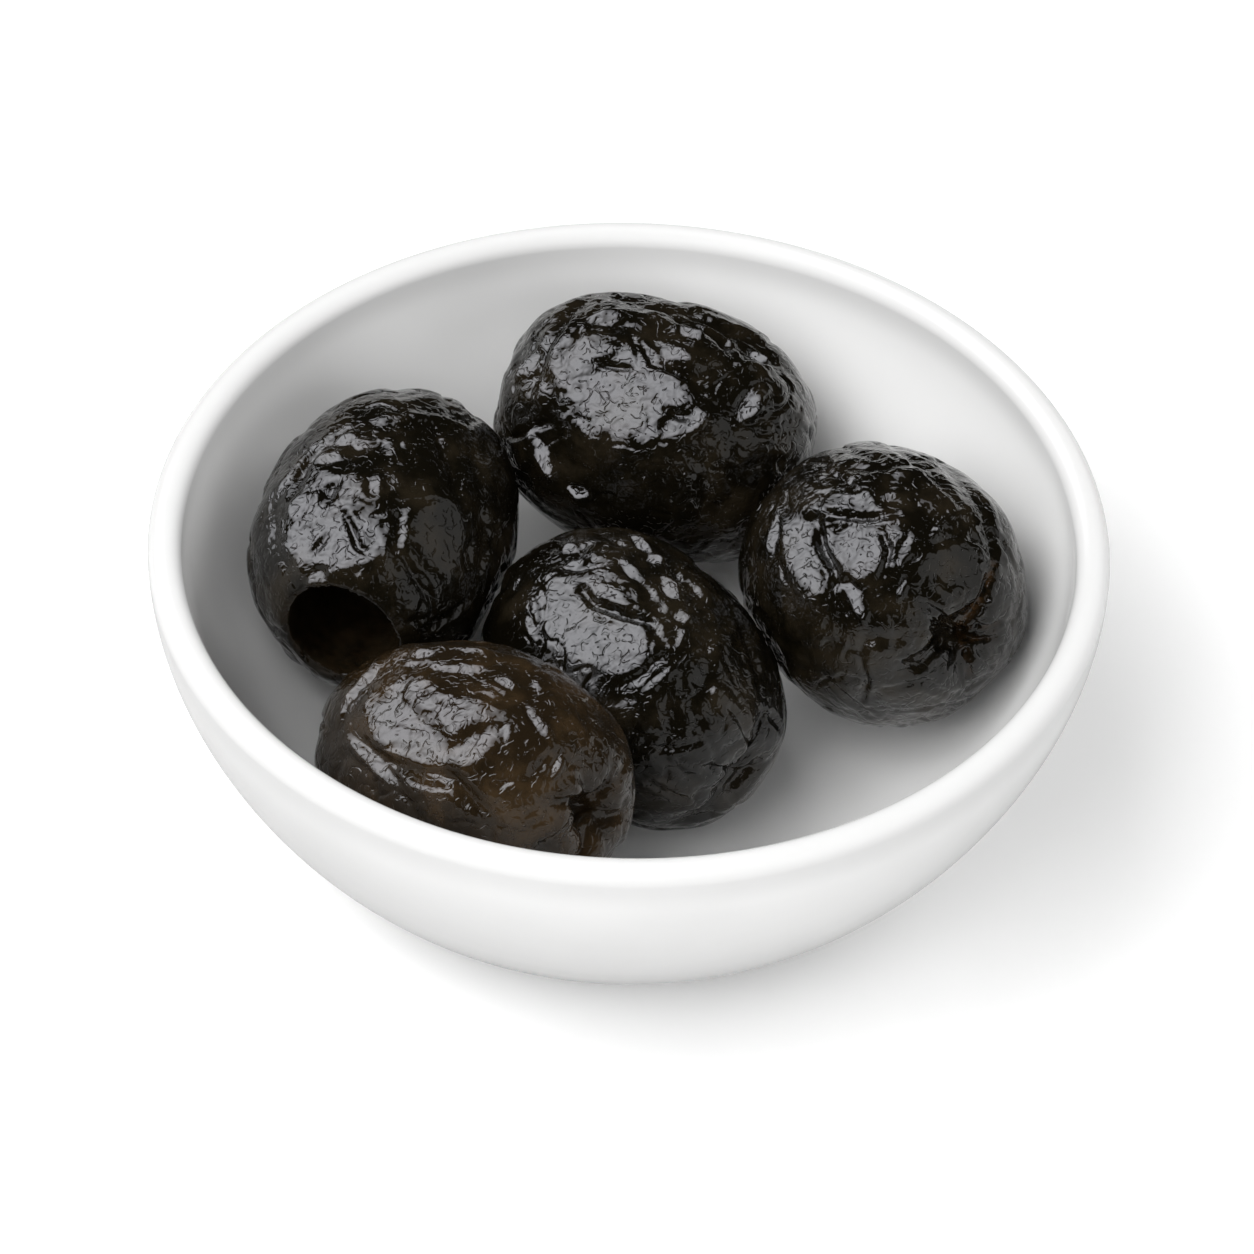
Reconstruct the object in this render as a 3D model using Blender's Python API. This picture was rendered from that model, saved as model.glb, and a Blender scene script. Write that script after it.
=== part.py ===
"""A small glazed dish that holds five large pitted black olives.

The dish is turned round Z and stands on the origin. Each olive is turned round its own long
axis, then dented, folded and puckered, and pressed a little flat where it leans on another.
Lengths are metres and angles are degrees.
"""
import math
from dataclasses import dataclass, field

import bmesh
import bpy
from mathutils import Matrix, Vector, noise

# Dish: the sizes that the rest of it follows
DISH_WIDTH = 0.080
DISH_HEIGHT = 0.030
LIP_THICKNESS = 0.0028
FLOOR_THICKNESS = 0.0030
FOOT_WIDTH = 0.0420
FOOT_RING = 0.0022
FOOT_RECESS = 0.0009
FOOT_EDGE = 0.0003
FLAT_FLOOR_WIDTH = 0.030
# Where each face of the wall would reach if it kept on flat at the bottom or upright at the top
OUTER_FLAT_REACH = 0.0285
OUTER_UPRIGHT_FROM = 0.0172
INNER_FLAT_REACH = 0.0265
INNER_UPRIGHT_FROM = 0.0175
OUTER_RISE = 0.0004
DISH_SIDES = 48
WALL_STEPS = 9
LIP_STEPS = 6

# Olives: what all five share
OLIVE_SIDES = 42
OLIVE_RINGS = 22
BLUNTNESS = 2.25
BROAD_DENT = 0.00055
BROAD_DENT_SIZE = 0.0085
SMALL_DENT = 0.00028
SMALL_DENT_SIZE = 0.0038
LONG_FOLD = 0.00032
LONG_FOLD_SIZE = 0.0034
LONG_FOLD_STRETCH = 0.3
SKIN_SWELL = 0.00045
CONTACT_GAP = 0.0002
SEED_STEP = 11.3

# Pit hole of the left olive
PIT_RADIUS = 0.0047
PIT_LIP = 0.0008
PIT_DEPTH = 0.0150
PIT_TAPER = 0.82
PIT_STEPS = 5
PIT_END_ROUNDNESS = 0.7
PIT_WAVE = 0.00025

# Puckered front end: how wide its creases are beside the middle, and how they spread
CREASE_WIDTH = 0.0005
CREASE_SPREAD = 0.12
# Plain dip of the hidden back end
BACK_DIP = 0.0006
BACK_DIP_WIDTH = 0.0025

DISH_GLAZE = (0.86, 0.86, 0.85)
BLACK_SKIN = (0.012, 0.008, 0.006)
BROWN_SKIN = (0.032, 0.019, 0.011)


@dataclass
class Fold:
    """A crease along a path on the skin, each point a place along the axis and an angle
    round it. A negative depth raises a ridge."""
    path: list
    depth: float = 0.0005
    width: float = 0.0009


@dataclass
class Olive:
    """One olive: heading and tilt say where its front end points."""
    name: str
    centre: tuple
    heading: float
    tilt: float
    half_length: float
    radius: float
    skin: tuple = BLACK_SKIN
    front_shift: tuple = (0.0, 0.0)
    has_pit_hole: bool = False
    pucker_depth: float = 0.0008
    pucker_width: float = 0.0026
    creases: tuple = ()
    crease_depth: float = 0.0007
    crease_reach: float = 0.0050
    folds: list = field(default_factory=list)
    seed: int = 0


OLIVES = [
    Olive("olive_left", centre=(-0.0211, 0.0080, 0.0202), heading=-106, tilt=2,
          half_length=0.0146, radius=0.0107, front_shift=(0.0013, 0.0011),
          has_pit_hole=True, seed=1,
          folds=[Fold([(-0.001, 100), (0.004, 101), (0.008, 107)], 0.0005),
                 Fold([(0.000, 110), (0.001, 122), (0.006, 122)], 0.0004),
                 Fold([(0.0075, 90), (0.009, 80), (0.010, 67)], 0.0005),
                 Fold([(-0.003, 66), (0.0005, 49), (0.004, 29)], 0.0004),
                 Fold([(-0.005, 54), (-0.001, 35), (0.003, 16)], 0.0004)]),
    Olive("olive_back", centre=(0.0021, 0.0224, 0.0208), heading=-12, tilt=-9,
          half_length=0.0141, radius=0.0112, seed=2,
          creases=(20, 95, 160, 235, 300), crease_depth=0.0004,
          folds=[Fold([(-0.0044, 66), (0.001, 72), (0.005, 78), (0.009, 70)], 0.0013, 0.0015),
                 Fold([(-0.003, 82), (0.002, 86), (0.005, 95), (0.009, 88)], -0.0003),
                 Fold([(-0.0085, 61), (-0.009, 92), (-0.0095, 125)], 0.0005),
                 Fold([(-0.004, 99), (0.000, 108), (0.003, 118)], 0.0005),
                 Fold([(-0.0085, 150), (-0.0065, 165)], 0.0007, 0.0026)]),
    Olive("olive_middle", centre=(0.0006, -0.0028, 0.0150), heading=-50, tilt=-2,
          half_length=0.0143, radius=0.0108, seed=3,
          creases=(48, 222), crease_depth=0.0013, crease_reach=0.0062,
          folds=[Fold([(-0.003, 112), (0.000, 110), (0.003, 106)], 0.0005),
                 Fold([(0.007, 107), (0.0065, 124), (0.0055, 132)], 0.0006),
                 Fold([(0.003, 68), (0.006, 75), (0.009, 86), (0.011, 99)], 0.0004),
                 Fold([(0.006, 61), (0.010, 62), (0.0125, 64)], 0.0004)]),
    Olive("olive_front", centre=(-0.0122, -0.0194, 0.0201), heading=-37, tilt=15,
          half_length=0.0141, radius=0.0102, skin=BROWN_SKIN, seed=4,
          pucker_depth=0.0032, pucker_width=0.0022,
          creases=(35, 92, 137, 178, 220, 330), crease_depth=0.0011,
          folds=[Fold([(0.009, 152), (0.006, 142), (0.003, 141)], 0.0007, 0.0010),
                 Fold([(-0.005, 132), (-0.002, 139), (0.002, 138)], 0.0006),
                 Fold([(-0.006, 86), (0.000, 70), (0.004, 62), (0.007, 66)], -0.0003)]),
    Olive("olive_right", centre=(0.0216, 0.0040, 0.0203), heading=-62, tilt=17,
          half_length=0.0127, radius=0.0113, seed=5,
          pucker_depth=0.0018, pucker_width=0.0021,
          creases=(45, 120, 195, 282, 345), crease_depth=0.0010, crease_reach=0.0045,
          folds=[Fold([(0.002, 127), (0.004, 137), (0.007, 145)], 0.0006),
                 Fold([(0.007, 112), (0.009, 118), (0.0095, 135)], 0.0005),
                 Fold([(0.003, 126), (0.0045, 117), (0.008, 98)], 0.0006),
                 Fold([(0.000, 50), (0.005, 54), (0.0075, 47), (0.010, 42)], 0.0005)]),
]


def clear_scene():
    for thing in list(bpy.data.objects):
        bpy.data.objects.remove(thing, do_unlink=True)


def plain_material(name, colour, roughness):
    material = bpy.data.materials.new(name)
    material.use_nodes = True
    shader = material.node_tree.nodes["Principled BSDF"]
    shader.inputs["Base Color"].default_value = (*colour, 1.0)
    shader.inputs["Roughness"].default_value = roughness
    shader.inputs["Metallic"].default_value = 0.0
    return material


def curve_points(start, pull_start, pull_end, end, steps):
    """Points along a cubic curve, both ends included."""
    points = []
    for step in range(steps + 1):
        t = step / steps
        s = 1.0 - t
        weights = (s * s * s, 3 * s * s * t, 3 * s * t * t, t * t * t)
        corners = (start, pull_start, pull_end, end)
        points.append(tuple(sum(w * c[axis] for w, c in zip(weights, corners))
                            for axis in range(2)))
    return points


def turned_mesh(name, outline, axis, sides):
    """Spin an outline, whose two ends lie on the axis, into one closed mesh."""
    mesh = bpy.data.meshes.new(name)
    bm = bmesh.new()
    verts = [bm.verts.new(point) for point in outline]
    edges = [bm.edges.new(pair) for pair in zip(verts, verts[1:])]
    bmesh.ops.spin(bm, geom=verts + edges, cent=(0, 0, 0), axis=axis,
                   angle=math.tau, steps=sides, use_duplicate=False)
    bmesh.ops.remove_doubles(bm, verts=bm.verts, dist=0.000001)
    bmesh.ops.recalc_face_normals(bm, faces=bm.faces)
    bm.to_mesh(mesh)
    bm.free()
    mesh.shade_smooth()
    return mesh


def dish_outline():
    """Half of the dish cut through its middle: under the foot, up outside, over the lip and
    down inside."""
    rim = DISH_WIDTH / 2
    lip = LIP_THICKNESS / 2
    lip_height = DISH_HEIGHT - lip
    inner_rim = rim - LIP_THICKNESS
    foot = FOOT_WIDTH / 2
    floor = FOOT_RECESS + FLOOR_THICKNESS
    flat_floor = FLAT_FLOOR_WIDTH / 2
    outline = [(0.0, FOOT_RECESS),
               (foot - FOOT_RING - FOOT_RECESS, FOOT_RECESS),
               (foot - FOOT_RING, 0.0),
               (foot - FOOT_EDGE, 0.0)]
    outline += curve_points((foot, FOOT_RECESS), (OUTER_FLAT_REACH, FOOT_RECESS + OUTER_RISE),
                            (rim, OUTER_UPRIGHT_FROM), (rim, lip_height), WALL_STEPS)
    for step in range(1, LIP_STEPS):
        turn = math.pi * step / LIP_STEPS
        outline.append((rim - lip + lip * math.cos(turn), lip_height + lip * math.sin(turn)))
    outline += curve_points((inner_rim, lip_height), (inner_rim, INNER_UPRIGHT_FROM),
                            (INNER_FLAT_REACH, floor), (flat_floor, floor), WALL_STEPS)
    outline.append((0.0, floor))
    return outline


def make_dish():
    outline = [(radius, 0.0, height) for radius, height in dish_outline()]
    mesh = turned_mesh("dish", outline, (0, 0, 1), DISH_SIDES)
    mesh.materials.append(plain_material("white_glaze", DISH_GLAZE, 0.12))
    dish = bpy.data.objects.new("dish", mesh)
    bpy.context.collection.objects.link(dish)
    return dish


def skin_radius(olive, along):
    """How thick the bare olive is, as a radius, at a place along its axis."""
    share = min(1.0, abs(along) / olive.half_length)
    return olive.radius * (1.0 - share ** BLUNTNESS) ** (1.0 / BLUNTNESS)


def skin_place(olive, radius):
    """How far along the axis the front of the bare olive has the given radius."""
    share = 1.0 - (radius / olive.radius) ** BLUNTNESS
    return olive.half_length * share ** (1.0 / BLUNTNESS)


def olive_outline(olive):
    """Half of the olive cut along its axis, from its back end to its front end, and on into
    the pit hole if it has one."""
    power = 2.0 / BLUNTNESS
    edge = PIT_RADIUS + PIT_LIP
    last = math.pi
    if olive.has_pit_hole:
        last = math.pi - math.asin((edge / olive.radius) ** (1.0 / power))
    outline = []
    for step in range(OLIVE_RINGS + 1):
        turn = last * step / OLIVE_RINGS
        along = -math.copysign(abs(math.cos(turn)) ** power, math.cos(turn))
        outline.append((olive.half_length * along,
                        olive.radius * max(0.0, math.sin(turn)) ** power))
    outline[0] = (-olive.half_length, 0.0)
    if not olive.has_pit_hole:
        outline[-1] = (olive.half_length, 0.0)
        return outline
    front = skin_place(olive, edge)
    bottom = PIT_RADIUS * PIT_TAPER
    wall_start = front - PIT_LIP
    wall_end = front - PIT_DEPTH + PIT_END_ROUNDNESS * bottom
    outline.append((front + 0.25 * PIT_LIP, PIT_RADIUS + 0.35 * PIT_LIP))
    outline.append((front - 0.20 * PIT_LIP, PIT_RADIUS))
    for step in range(1, PIT_STEPS + 1):
        share = step / PIT_STEPS
        outline.append((wall_start + share * (wall_end - wall_start),
                        PIT_RADIUS + share * (bottom - PIT_RADIUS)))
    for turn in (30, 60):
        outline.append((wall_end - PIT_END_ROUNDNESS * bottom * math.sin(math.radians(turn)),
                        bottom * math.cos(math.radians(turn))))
    outline.append((front - PIT_DEPTH, 0.0))
    return outline


def skin_point(olive, along, around):
    radius = skin_radius(olive, along)
    turn = math.radians(around)
    return Vector((along, radius * math.cos(turn), radius * math.sin(turn)))


def path_distance(point, path):
    nearest = math.inf
    for start, end in zip(path, path[1:]):
        run = end - start
        share = max(0.0, min(1.0, (point - start).dot(run) / run.length_squared))
        nearest = min(nearest, (point - start - share * run).length)
    return nearest


def dent_noise(point, size, shift):
    """Smooth seeded noise from 0 to 1."""
    return 0.5 + 0.5 * noise.noise(point / size + shift)


def shrivel_depth(olive, point):
    """Dents and long shallow folds that cover the whole skin."""
    shift = Vector((olive.seed * SEED_STEP, 0.0, 0.0))
    depth = BROAD_DENT * dent_noise(point, BROAD_DENT_SIZE, shift)
    depth += SMALL_DENT * dent_noise(point, SMALL_DENT_SIZE, 2 * shift)
    stretched = Vector((point.x * LONG_FOLD_STRETCH, point.y, point.z))
    fold = 1.0 - abs(noise.noise(stretched / LONG_FOLD_SIZE + 3 * shift))
    return depth + LONG_FOLD * fold ** 4


def pucker_depth(olive, point):
    """A dip at an end with creases running out of it. The hidden back end has a plain dip."""
    reach = math.hypot(point.y, point.z)
    if point.x < 0:
        return BACK_DIP * math.exp(-(reach / BACK_DIP_WIDTH) ** 2)
    depth = olive.pucker_depth * math.exp(-(reach / olive.pucker_width) ** 2)
    fade = math.exp(-(reach / olive.crease_reach) ** 4)
    width = CREASE_WIDTH + CREASE_SPREAD * reach
    for crease in olive.creases:
        turn = math.atan2(point.z, point.y) - math.radians(crease)
        if math.cos(turn) > 0:
            away = reach * math.sin(turn) / width
            depth += olive.crease_depth * fade * math.exp(-away * away)
    return depth


def fold_depth(olive, point):
    depth = 0.0
    for fold in olive.folds:
        path = [skin_point(olive, *place) for place in fold.path]
        away = path_distance(point, path) / fold.width
        depth += fold.depth * math.exp(-away * away)
    return depth


def skin_depth(olive, point):
    """How far the skin lies inside the bare olive at a point."""
    depth = shrivel_depth(olive, point) + fold_depth(olive, point) - SKIN_SWELL
    reach = math.hypot(point.y, point.z)
    if not olive.has_pit_hole or point.x < 0:
        return depth + pucker_depth(olive, point)
    if reach < PIT_RADIUS + PIT_LIP:
        return PIT_WAVE * dent_noise(point, SMALL_DENT_SIZE, Vector())
    blend = min(1.0, (reach - PIT_RADIUS - PIT_LIP) / (3 * PIT_LIP))
    return depth * blend


def olive_place(olive):
    turn = Matrix.Rotation(math.radians(olive.heading), 4, "Z")
    tilt = Matrix.Rotation(-math.radians(olive.tilt), 4, "Y")
    return Matrix.Translation(olive.centre) @ turn @ tilt


def support(olive, direction):
    """How far the bare olive reaches from its centre in a direction."""
    local = olive_place(olive).to_3x3().transposed() @ direction
    power = BLUNTNESS / (BLUNTNESS - 1.0)
    along = (olive.half_length * abs(local.x)) ** power
    across = (olive.radius * math.hypot(local.y, local.z)) ** power
    return (along + across) ** (1.0 / power)


def contact_plane(olive, other):
    """The plane that parts two olives best: its normal points from one to the other."""
    between = Vector(other.centre) - Vector(olive.centre)

    def spare(normal):
        return normal.dot(between) - support(olive, normal) - support(other, normal)

    best = between.normalized()
    step = 0.3
    while step > 0.001:
        tries = [best]
        for axis in range(3):
            for side in (-step, step):
                nudge = Vector((0, 0, 0))
                nudge[axis] = side
                tries.append((best + nudge).normalized())
        winner = max(tries, key=spare)
        if winner is best:
            step /= 2
        best = winner
    near = best.dot(Vector(olive.centre)) + support(olive, best)
    far = best.dot(Vector(other.centre)) - support(other, best)
    return best, (near + far) / 2


def press_flat(mesh, place, normal, offset):
    """Push what lies past a plane back onto it."""
    inverse = place.inverted()
    for vert in mesh.vertices:
        world = place @ vert.co
        past = world.dot(normal) - offset
        if past > 0:
            vert.co = inverse @ (world - past * normal)


def make_olive(olive):
    outline = [(along, radius, 0.0) for along, radius in olive_outline(olive)]
    mesh = turned_mesh(olive.name, outline, (1, 0, 0), OLIVE_SIDES)
    normals = [vert.normal.copy() for vert in mesh.vertices]
    for vert, normal in zip(mesh.vertices, normals):
        depth = skin_depth(olive, vert.co)
        bend = max(0.0, vert.co.x / olive.half_length) ** 2
        vert.co -= depth * normal
        vert.co.y += bend * olive.front_shift[0]
        vert.co.z += bend * olive.front_shift[1]
    place = olive_place(olive)
    for other in OLIVES:
        if other is not olive:
            normal, offset = contact_plane(olive, other)
            press_flat(mesh, place, normal, offset - CONTACT_GAP)
    mesh.materials.append(plain_material(olive.name + "_skin", olive.skin, 0.25))
    thing = bpy.data.objects.new(olive.name, mesh)
    thing.matrix_world = place
    bpy.context.collection.objects.link(thing)
    return thing


clear_scene()
make_dish()
for each_olive in OLIVES:
    make_olive(each_olive)
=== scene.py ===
# %% [markdown]
# # A dish of olives
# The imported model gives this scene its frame: one round dish and five olives, each a plain
# solid at its true size and place. This lesson dresses them. The dish is turned again from its
# cut outline with many more steps, and each olive gets the creases, puckers and fine wrinkles
# of real skin, a wet dark finish, and the light of a small photo studio.

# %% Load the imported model
import math

import bmesh
import bpy
import numpy as np
from mathutils import Matrix, Vector, noise
from mathutils.bvhtree import BVHTree


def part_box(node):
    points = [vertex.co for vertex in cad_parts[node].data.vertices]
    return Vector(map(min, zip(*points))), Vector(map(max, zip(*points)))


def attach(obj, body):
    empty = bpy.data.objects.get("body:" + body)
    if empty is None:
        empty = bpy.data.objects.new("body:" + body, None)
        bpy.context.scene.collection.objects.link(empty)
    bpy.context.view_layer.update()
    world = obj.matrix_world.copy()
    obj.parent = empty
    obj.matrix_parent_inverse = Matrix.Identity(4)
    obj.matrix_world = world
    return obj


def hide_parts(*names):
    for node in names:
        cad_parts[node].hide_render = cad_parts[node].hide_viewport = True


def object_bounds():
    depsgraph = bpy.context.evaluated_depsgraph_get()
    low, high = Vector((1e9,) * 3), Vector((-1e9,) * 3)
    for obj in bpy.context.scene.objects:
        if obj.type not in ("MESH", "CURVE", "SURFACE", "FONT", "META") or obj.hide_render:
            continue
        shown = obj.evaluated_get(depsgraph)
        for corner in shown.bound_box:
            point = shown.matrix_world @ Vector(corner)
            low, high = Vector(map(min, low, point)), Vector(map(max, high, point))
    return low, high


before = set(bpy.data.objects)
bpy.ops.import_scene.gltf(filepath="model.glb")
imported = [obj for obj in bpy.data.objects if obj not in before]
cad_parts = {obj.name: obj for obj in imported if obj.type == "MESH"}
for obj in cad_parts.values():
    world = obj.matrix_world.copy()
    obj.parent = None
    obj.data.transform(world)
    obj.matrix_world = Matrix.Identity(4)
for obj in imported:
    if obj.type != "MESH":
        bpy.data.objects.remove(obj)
CAD_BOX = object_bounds()
MM = 0.001
print("nodes:", sorted(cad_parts))

# %% [markdown]
# ## Camera
# The photograph was taken with a long lens from the front, a little under half way up. Four
# numbers say where the camera stands: the point it looks at, its height angle, its distance,
# and a slight roll that lowers the right side. A camera's columns are its right, up and back
# directions, so the matrix is written straight from them. The lens follows from the distance
# and from how many pixels of the photograph one millimetre of the dish takes.

# %% Camera
PHOTO_SIZE = 1254
PHOTO_MIDDLE = PHOTO_SIZE / 2
PIXELS_PER_MM = 11.767
SENSOR_WIDTH = 36.0
CAMERA_TARGET = Vector((0.0, 1.65 * MM, 16.7 * MM))
CAMERA_HEIGHT_ANGLE = math.radians(44.15)
CAMERA_DISTANCE = 470 * MM
CAMERA_ROLL = math.radians(1.47)


def camera_axes():
    """The camera's right, up and back directions in the scene."""
    level = Vector((1.0, 0.0, 0.0))
    back = Vector((0.0, -math.cos(CAMERA_HEIGHT_ANGLE), math.sin(CAMERA_HEIGHT_ANGLE)))
    rise = back.cross(level)
    right = math.cos(CAMERA_ROLL) * level + math.sin(CAMERA_ROLL) * rise
    up = math.cos(CAMERA_ROLL) * rise - math.sin(CAMERA_ROLL) * level
    return right, up, back


RIGHT, UP, BACK = camera_axes()
CAMERA_PLACE = CAMERA_TARGET + CAMERA_DISTANCE * BACK
FOCAL_PIXELS = PIXELS_PER_MM * CAMERA_DISTANCE / MM

camera_data = bpy.data.cameras.new("photo_camera")
camera_data.sensor_width = SENSOR_WIDTH
camera_data.lens = SENSOR_WIDTH * FOCAL_PIXELS / PHOTO_SIZE
camera_data.clip_start = 0.01
camera_data.clip_end = 20.0
camera = bpy.data.objects.new("photo_camera", camera_data)
camera.matrix_world = Matrix((
    (RIGHT.x, UP.x, BACK.x, CAMERA_PLACE.x),
    (RIGHT.y, UP.y, BACK.y, CAMERA_PLACE.y),
    (RIGHT.z, UP.z, BACK.z, CAMERA_PLACE.z),
    (0.0, 0.0, 0.0, 1.0)))
bpy.context.scene.collection.objects.link(camera)
bpy.context.scene.camera = camera
print("lens: %.1f mm" % camera_data.lens)

# %% [markdown]
# ## Helpers for node trees
# Node trees are long-winded in Python: a node is added, its settings are made, and each input
# is either joined to another node or given a value. Small helpers hide that. They could hide
# more, but then the trees below would no longer show which nodes they use.

# %% Node helpers
MIX_COLOUR_INPUTS = (0, 6, 7)
MIX_COLOUR_OUTPUT = 2


def give(tree, socket, value):
    """Join an output socket to an input, or write a plain value there."""
    if isinstance(value, bpy.types.NodeSocket):
        tree.links.new(value, socket)
    else:
        socket.default_value = value


def add_node(tree, kind, settings=None, **inputs):
    """Add a node. Each input is a plain value, or an output socket to join to it."""
    node = tree.nodes.new(kind)
    for name, value in (settings or {}).items():
        setattr(node, name, value)
    for name, value in inputs.items():
        give(tree, node.inputs[name.replace("_", " ")], value)
    return node


def fill_node(tree, kind, settings, values):
    """Add a node and fill its inputs in order; gives back its first output."""
    node = add_node(tree, kind, settings)
    for socket, value in zip(node.inputs, values):
        give(tree, socket, value)
    return node.outputs[0]


def math_node(tree, operation, *values):
    return fill_node(tree, "ShaderNodeMath", {"operation": operation}, values)


def vector_node(tree, operation, *values):
    return fill_node(tree, "ShaderNodeVectorMath", {"operation": operation}, values)


def range_node(tree, value, ends, results=(0.0, 1.0), kind="SMOOTHSTEP"):
    """Turn the values between two ends into those between two results."""
    return fill_node(tree, "ShaderNodeMapRange", {"interpolation_type": kind},
                     (value, *ends, *results))


def noise_node(tree, place, scale, detail=1.0, roughness=0.5):
    """A Noise Texture's value, from 0 to 1."""
    return add_node(tree, "ShaderNodeTexNoise", Vector=place, Scale=scale, Detail=detail,
                    Roughness=roughness).outputs[0]


def colour_mix(tree, share, first, second):
    """A Mix node's colour: the first at share 0, the second at share 1."""
    node = add_node(tree, "ShaderNodeMix", {"data_type": "RGBA"})
    for index, value in zip(MIX_COLOUR_INPUTS, (share, first, second)):
        give(tree, node.inputs[index], (*value, 1.0) if isinstance(value, tuple) else value)
    return node.outputs[MIX_COLOUR_OUTPUT]


def new_finish(name):
    """A new material; gives back the material, its node tree and its main shader."""
    material = bpy.data.materials.new(name)
    material.use_nodes = True
    return material, material.node_tree, material.node_tree.nodes["Principled BSDF"]


def fill_shader(tree, shader, values):
    """Fill a shader's inputs by name, each with a plain value or an output socket."""
    for name, value in values.items():
        give(tree, shader.inputs[name], value)


# %% [markdown]
# ## White glaze
# The dish is fired clay under a smooth white glaze. Glaze is never quite even: it pools a
# little, so its tone drifts by a percent or two, and its surface has a faint ripple that bends
# reflections. Its colour also turns darker toward the lip, a painted shade that holds down the
# light on the rim. A painted image could hold all that, but it would have to be fitted to the
# dish. Noises in object coordinates need no fitting, and nothing slides when the view changes.

# %% Glaze material
GLAZE_COLOUR = (0.91, 0.91, 0.905)
GLAZE_POOLED = (0.88, 0.88, 0.875)
# Painted shade: a darker glaze colour on the lip, which holds down the light on the rim.
GLAZE_AT_LIP = (0.76, 0.76, 0.757)
GLAZE_THINS = (25.5 * MM, 29.0 * MM)
GLAZE_POOL_SCALE = 60.0
GLAZE_POOL_DETAIL = 3.0
GLAZE_POOL_EDGE = (0.45, 0.75)
GLAZE_ROUGHNESS = (0.128, 0.208)
GLAZE_ROUGH_EDGE = (0.2, 0.8)
GLAZE_RIPPLE_SCALE = 140.0
GLAZE_RIPPLE_HEIGHT = 0.02 * MM
GLAZE_RIPPLE_STRENGTH = 0.5
GLAZE_IOR = 1.5
GLAZE_SPECULAR = 0.35


def glaze_material():
    material, tree, shader = new_finish("white_glaze")
    place = add_node(tree, "ShaderNodeTexCoord").outputs["Object"]
    pooled = noise_node(tree, place, GLAZE_POOL_SCALE, GLAZE_POOL_DETAIL)
    glaze = colour_mix(tree, range_node(tree, pooled, GLAZE_POOL_EDGE), GLAZE_COLOUR,
                       GLAZE_POOLED)
    # Painted shade: the glaze darkens toward the lip, between the two heights of the lip shade.
    height = add_node(tree, "ShaderNodeSeparateXYZ", Vector=place).outputs["Z"]
    thin = range_node(tree, height, GLAZE_THINS)
    bump = add_node(tree, "ShaderNodeBump", Strength=GLAZE_RIPPLE_STRENGTH,
                    Distance=GLAZE_RIPPLE_HEIGHT,
                    Height=noise_node(tree, place, GLAZE_RIPPLE_SCALE))
    fill_shader(tree, shader, {
        "Base Color": colour_mix(tree, thin, glaze, GLAZE_AT_LIP),
        "Roughness": range_node(tree, pooled, GLAZE_ROUGH_EDGE, GLAZE_ROUGHNESS),
        "Normal": bump.outputs["Normal"],
        "IOR": GLAZE_IOR,
        "Specular IOR Level": GLAZE_SPECULAR,
    })
    return material


GLAZE = glaze_material()
print("made", GLAZE.name)

# %% [markdown]
# ## Dish outline
# A potter turns a dish against one outline, and so does this step. The outline is half of the
# dish cut through its middle: under the foot, up the outside, over a round lip, and down the
# inside to the flat floor. Both walls are cubic curves that leave the bottom flat and reach
# the rim upright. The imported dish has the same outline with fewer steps, so the size is the
# same, and only the roundness is better.

# %% Dish outline
DISH_WIDTH = 80 * MM
DISH_HEIGHT = 30 * MM
LIP_THICKNESS = 2.8 * MM
FLOOR_THICKNESS = 3.0 * MM
FOOT_WIDTH = 42 * MM
FOOT_RING = 2.2 * MM
FOOT_RECESS = 0.9 * MM
FOOT_EDGE = 0.3 * MM
FLAT_FLOOR_WIDTH = 30 * MM
OUTER_FLAT_REACH = 28.5 * MM
OUTER_UPRIGHT_FROM = 17.2 * MM
OUTER_RISE = 0.4 * MM
INNER_FLAT_REACH = 26.5 * MM
INNER_UPRIGHT_FROM = 17.5 * MM
WALL_STEPS = 40
LIP_STEPS = 24


def cubic_points(start, pull_start, pull_end, end, steps):
    """Points along a cubic curve, both ends included."""
    points = []
    for step in range(steps + 1):
        t = step / steps
        s = 1.0 - t
        weights = (s * s * s, 3 * s * s * t, 3 * s * t * t, t * t * t)
        corners = (start, pull_start, pull_end, end)
        points.append(tuple(sum(w * c[axis] for w, c in zip(weights, corners))
                            for axis in range(2)))
    return points


def dish_outline():
    rim = DISH_WIDTH / 2
    lip = LIP_THICKNESS / 2
    lip_height = DISH_HEIGHT - lip
    foot = FOOT_WIDTH / 2
    floor = FOOT_RECESS + FLOOR_THICKNESS
    outline = [(0.0, FOOT_RECESS),
               (foot - FOOT_RING - FOOT_RECESS, FOOT_RECESS),
               (foot - FOOT_RING, 0.0),
               (foot - FOOT_EDGE, 0.0)]
    outline += cubic_points((foot, FOOT_RECESS), (OUTER_FLAT_REACH, FOOT_RECESS + OUTER_RISE),
                            (rim, OUTER_UPRIGHT_FROM), (rim, lip_height), WALL_STEPS)
    for step in range(1, LIP_STEPS):
        turn = math.pi * step / LIP_STEPS
        outline.append((rim - lip + lip * math.cos(turn), lip_height + lip * math.sin(turn)))
    inner_rim = rim - LIP_THICKNESS
    outline += cubic_points((inner_rim, lip_height), (inner_rim, INNER_UPRIGHT_FROM),
                            (INNER_FLAT_REACH, floor), (FLAT_FLOOR_WIDTH / 2, floor),
                            WALL_STEPS)
    outline.append((0.0, floor))
    return outline


print("outline points:", len(dish_outline()))

# %% [markdown]
# ## Turning the dish
# A Geometry Nodes tree turns the outline round the upright axis. Its input is the outline as
# a row of points that carries each point's radius and height. A grid has one column for each
# step round and one row for each outline point, and every grid point looks up its row's
# radius and height and moves there. The seam and the two middle points are merged after. A
# Screw modifier would turn it too, but here the number of sides stays a named input.

# %% Dish by Geometry Nodes
DISH_SIDES = 192
SEAM_REACH = 0.002 * MM
HALF_GRID = 0.5


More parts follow.
